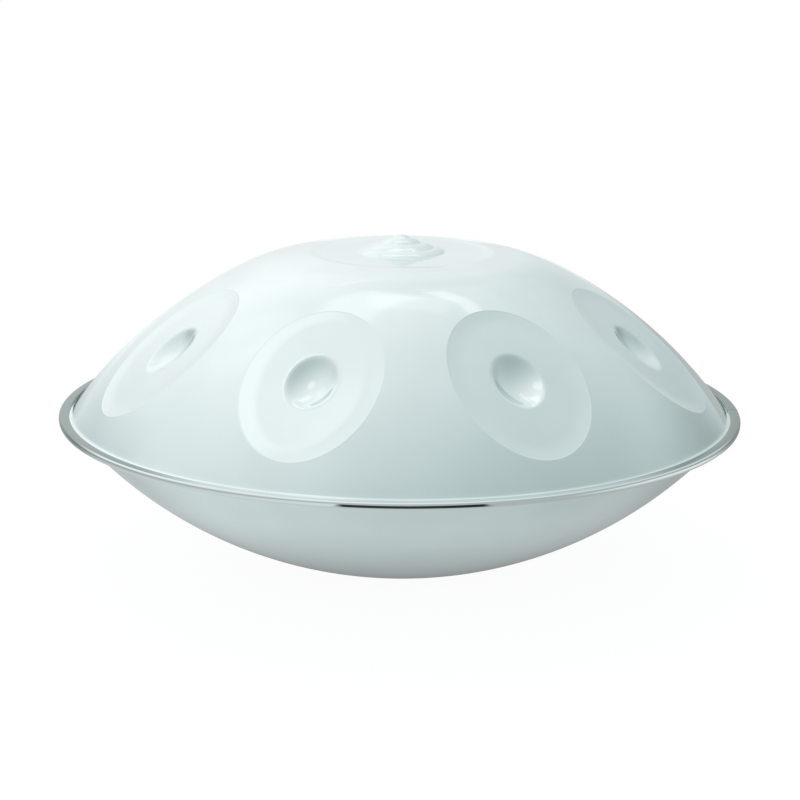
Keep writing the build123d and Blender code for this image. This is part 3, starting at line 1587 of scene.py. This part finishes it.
@dataclass
class Studio:
    """The floor, the surrounding light and the camera."""

    focus_height: float = 116.58 * MM
    view_distance: float = 1635.8 * MM
    view_azimuth: float = -3.5
    view_elevation: float = 14.465
    view_roll: float = 0.49
    lens: float = 93.51
    sensor: float = 36.0
    shift: Span = (0.0003, 0.0094)
    floor_half: float = 30.0
    floor_colour: Colour = (0.93, 0.935, 0.94)
    floor_glow: float = 0.9
    floor_white: Colour = (1.05, 1.05, 1.05)
    floor_tint: Colour = (0.96, 1.0, 1.0)
    floor_image: FloorImage = field(default_factory=FloorImage)
    tent: Tent = field(default_factory=Tent)

    def floor(self) -> None:
        """Lays a plain pale floor that shows near white and keeps the shadow."""
        corners = [(-1, -1, 0), (1, -1, 0), (1, 1, 0), (-1, 1, 0)]
        points = np.array(corners) * self.floor_half
        floor = Workshop.blank("studio_floor", points, [(0, 1, 2, 3)])
        made, board = new_material("studio_floor")
        x, y, _ = board.parts(board.add("ShaderNodeTexCoord", output="Object"))
        matt = board.add("ShaderNodeBsdfDiffuse", values={"Color": (*self.floor_colour, 1.0)})
        white, tinted, black = (
            board.add("ShaderNodeEmission", values={"Color": (*colour, 1.0), "Strength": 1.0})
            for colour in (self.floor_white, self.floor_tint, (0.0, 0.0, 0.0))
        )
        path = board.node("ShaderNodeLightPath")
        camera, glossy, through = (
            board.out(path, f"Is {kind} Ray") for kind in ("Camera", "Glossy", "Transmission")
        )
        shown = board.shaders(camera * self.floor_glow, matt, white)
        # In reflections the floor shows a painted glow, with a painted shadow under the bowl.
        mirrored = board.shaders(self.floor_image.level(x, y), black, tinted)
        mixed = board.shaders(glossy.call("MAXIMUM", through), shown, mirrored)
        board.node("ShaderNodeOutputMaterial", values={"Surface": mixed})
        floor.data.materials.append(made)

    def surroundings(self) -> None:
        """Lights everything by the tent, which the camera itself sees as plain white."""
        world = bpy.data.worlds.new("tent")
        world.use_nodes = True
        bpy.context.scene.world = world
        board = Board(world.node_tree)
        level = self.tent.level(
            board.parts(board.add("ShaderNodeTexCoord", output="Generated"))
        )
        values = {"Red": self.tent.red(level), "Green": level, "Blue": level}
        colour = board.add("ShaderNodeCombineColor", values=values)
        tent, plain = (
            board.add("ShaderNodeBackground", values={"Color": light, "Strength": 1.0})
            for light in (colour, (1.0, 1.0, 1.0, 1.0))
        )
        camera = board.add("ShaderNodeLightPath", output="Is Camera Ray")
        mixed = board.shaders(camera, tent, plain)
        board.node("ShaderNodeOutputWorld", values={"Surface": mixed})

    def camera(self) -> None:
        """Sets the camera up before the instrument, a little above it."""
        data = bpy.data.cameras.new("camera")
        data.lens = self.lens
        data.sensor_width = self.sensor
        data.shift_x, data.shift_y = self.shift
        camera = bpy.data.objects.new("camera", data)
        away = toward(self.view_azimuth, self.view_elevation)
        camera.location = Vector((0, 0, self.focus_height)) + away * self.view_distance
        turn = away.to_track_quat("Z", "Y").to_matrix().to_4x4()
        roll = Matrix.Rotation(math.radians(self.view_roll), 4, "Z")
        camera.rotation_euler = (turn @ roll).to_euler()
        bpy.context.scene.collection.objects.link(camera)
        bpy.context.scene.camera = camera

    def build(self) -> None:
        """Sets up the whole studio."""
        self.camera()
        self.floor()
        self.surroundings()
        bpy.context.scene.view_settings.view_transform = "Standard"


def main() -> None:
    """Builds the instrument, piece by piece, and the studio round it."""
    logging.basicConfig(level=logging.INFO, format="%(name)s: %(message)s")
    workshop = Workshop()
    Studio().build()
    for assembly in (TopShell(workshop), BottomShell(workshop), Rim(workshop)):
        piece = assembly.build()
        triangles = sum(len(p.vertices) - 2 for p in piece.data.polygons)
        LOG.info("%s: %d triangles", piece.name, triangles)


if __name__ == "__main__":
    main()
